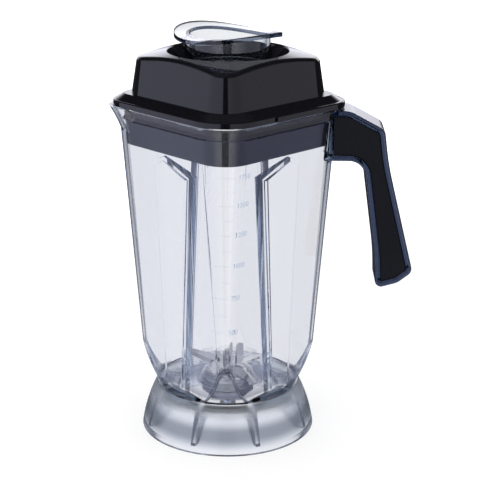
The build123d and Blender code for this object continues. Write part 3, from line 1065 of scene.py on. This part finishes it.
@dataclass
class Surroundings:
    """White all round for the camera, and what reflections and clear plastic see instead."""

    ambient: Colour = (0.55, 0.55, 0.55)

    # Reflections: light from both sides, cooler low down, with dark parts and a light behind
    lit_left: Colour = (0.88, 0.88, 1.14)
    lit_right: Colour = (0.53, 0.53, 0.6)
    cool_left: Colour = (0.7, 0.77, 1.16)
    cool_right: Colour = (0.45, 0.47, 0.72)
    leftward: Ramp = Ramp(-0.6, 0.9, 1.0, 0.0)
    above_cool: Ramp = Ramp(-0.36, -0.2)
    gap_width: Ramp = Ramp(0.16, 0.25)
    gap_depth: Ramp = Ramp(-0.9, -0.8)
    flag_width: Ramp = Ramp(0.3, 0.45)
    flag_low: Ramp = Ramp(-0.1, 0.0, 1.0, 0.0)
    flag_depth: Ramp = Ramp(0.1, 0.2, 0.0, 0.95)
    ceiling: Ramp = Ramp(0.22, 0.48, 1.0, 0.08)
    back_depth: Ramp = Ramp(0.6, 0.8)
    back_rise: Ramp = Ramp(0.0, 0.1)
    back_fall: Ramp = Ramp(0.22, 0.62, 1.0, 0.0)
    back_light: Ramp = Ramp(0.24, 0.32, 1.2, 2.6)

    # Seen through clear plastic: dim above, and dark sides for light that was reflected before
    shade: Colour = (0.02, 0.037, 0.11)
    above: Ramp = Ramp(0.0, 0.5, 1.0, 0.45)
    far_sides: Ramp = Ramp(0.5, 1.0, 1.0, 0.85)
    bounced_right: Ramp = Ramp(0.35, 0.85, 1.0, 0.12)
    bounced_left: Ramp = Ramp(-0.85, -0.35, 0.27, 1.0)
    bounced_gap: Ramp = Ramp(0.0, 1.0, 0.4, 1.0)
    bounce_count: float = 0.5

    def build(self) -> None:
        """Surround the object."""
        world = bpy.data.worlds.new("studio")
        bpy.context.scene.world = world
        world.use_nodes = True
        world.node_tree.nodes.clear()
        kit = Tree(world.node_tree)
        x, y, z = kit.add("SeparateXYZ", {0: kit.add("TexCoord").outputs["Generated"]}).outputs
        beside = kit.math("ABSOLUTE", x)
        gap = kit.math("MAXIMUM", kit.step(beside, self.gap_width), kit.step(y, self.gap_depth))
        wide = kit.math("MAXIMUM", kit.step(beside, self.flag_width), kit.step(z, self.flag_low))
        flag = kit.product(kit.step(y, self.flag_depth), wide)
        mirror = kit.product(gap, kit.step(z, self.ceiling), kit.math("SUBTRACT", 1.0, flag))
        shine = self.mirrored(kit, (x, y, z), mirror)
        clear = self.seen_through(kit, (x, y, z), gap)
        level = kit.mix(kit.ray(Ray.GLOSSY), self.ambient, shine)
        level = kit.mix(kit.ray(Ray.TRANSMISSION), level, clear)
        level = kit.mix(kit.ray(Ray.CAMERA), level, WHITE)
        glow = kit.add("Background", {0: level, 1: 1.0})
        kit.add("OutputWorld", {"Surface": glow.outputs[0]})
        LOG.info("built %s", world.name)

    def mirrored(self, kit: Tree, aim: tuple[Socket, Socket, Socket], share: Socket) -> Socket:
        """Light that reflections see.

        Args:
            kit: tree of the world.
            aim: parts of the direction that is looked in.
            share: how much of the light from the sides is left there.

        Returns:
            The light's socket.
        """
        x, y, z = aim
        leftward = kit.step(x, self.leftward)
        lit = kit.mix(leftward, self.lit_right, self.lit_left)
        cool = kit.mix(leftward, self.cool_right, self.cool_left)
        sides = kit.mix(kit.step(z, self.above_cool), cool, lit)
        back = kit.product(
            kit.step(y, self.back_depth),
            kit.step(z, self.back_rise),
            kit.step(z, self.back_fall),
            kit.step(x, self.back_light),
        )
        parts = {0: kit.mix(share, BLACK, sides), 1: back}
        return kit.add("VectorMath", parts, operation="ADD").outputs[0]

    def seen_through(self, kit: Tree, aim: tuple[Socket, Socket, Socket], gap: Socket) -> Socket:
        """Light that is seen through clear plastic.

        Args:
            kit: tree of the world.
            aim: parts of the direction that is looked in.
            gap: 0 in the dark gap at the camera, 1 elsewhere.

        Returns:
            The light's socket.
        """
        x, _, z = aim
        dim = kit.product(
            kit.step(x, self.bounced_right),
            kit.step(gap, self.bounced_gap),
            kit.step(x, self.bounced_left),
        )
        count = kit.add("LightPath").outputs["Glossy Depth"]
        bounced = kit.math("GREATER_THAN", count, self.bounce_count)
        plain = kit.step(kit.math("ABSOLUTE", x), self.far_sides)
        share = kit.product(kit.step(z, self.above), kit.blend(bounced, plain, dim))
        return kit.mix(share, self.shade, WHITE)


@dataclass
class Lamp:
    """Soft square lamp that looks at the object."""

    name: str
    place: Place
    size: float
    power: float
    aim: Place = (0.0, 0.0, 0.15)

    def build(self) -> None:
        """Make the lamp."""
        data = bpy.data.lights.new(self.name, "AREA")
        data.size = self.size
        data.energy = self.power
        lamp = bpy.data.objects.new(self.name, data)
        away = Vector(self.place) - Vector(self.aim)
        turn = away.to_track_quat("Z", "Y").to_matrix().to_4x4()
        lamp.matrix_world = Matrix.Translation(self.place) @ turn
        lamp.visible_glossy = False
        lamp.visible_transmission = False
        bpy.context.scene.collection.objects.link(lamp)
        LOG.info("built %s", lamp.name)


@dataclass
class PhotoCamera:
    """Camera where the photograph was taken from, with its angles in degrees."""

    place: Place = (0.00906, -1.01502, 0.47591)
    turn: float = 1.1
    pitch: float = 17.98
    roll: float = 0.2
    lens: float = 106.81
    sensor: float = 36.0
    clip_end: float = 50.0

    def build(self) -> None:
        """Set up the camera."""
        data = bpy.data.cameras.new("camera")
        data.lens = self.lens
        data.sensor_width = self.sensor
        data.clip_end = self.clip_end
        camera = bpy.data.objects.new("camera", data)
        tilt = Matrix.Rotation(math.radians(90.0 - self.pitch), 4, "X")
        roll = Matrix.Rotation(math.radians(self.roll), 4, "Z")
        turn = Matrix.Rotation(math.radians(self.turn), 4, "Z")
        camera.matrix_world = turn @ Matrix.Translation(self.place) @ tilt @ roll
        bpy.context.scene.collection.objects.link(camera)
        bpy.context.scene.camera = camera
        LOG.info("built %s", camera.name)


@dataclass
class Studio:
    """White floor, surroundings, soft lamps and the camera."""

    lamps: tuple[Lamp, ...] = (
        Lamp("key_lamp", place=(-0.9, -0.7, 1.3), size=1.1, power=9.0),
        Lamp("fill_lamp", place=(1.1, -0.6, 1.0), size=1.1, power=5.0),
        Lamp("top_lamp", place=(0.0, 0.4, 1.5), size=1.2, power=7.0),
    )
    bounces: int = 32
    glossy_bounces: int = 28
    transmission_bounces: int = 24
    transparent_bounces: int = 24

    def build(self) -> None:
        """Make the whole studio, with bounces enough for many clear walls."""
        for piece in (Floor(), Surroundings(), *self.lamps, PhotoCamera()):
            piece.build()
        scene = bpy.context.scene
        scene.view_settings.view_transform = "Standard"
        scene.cycles.max_bounces = self.bounces
        scene.cycles.glossy_bounces = self.glossy_bounces
        scene.cycles.transmission_bounces = self.transmission_bounces
        scene.cycles.transparent_max_bounces = self.transparent_bounces


def main() -> None:
    """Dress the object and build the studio."""
    logging.basicConfig(level=logging.INFO)
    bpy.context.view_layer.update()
    effects = Effects()
    for assembly in (ClearJar(), PushInLid(), BladeUnit()):
        assembly.dress(effects)
    Studio().build()


if __name__ == "__main__":
    main()
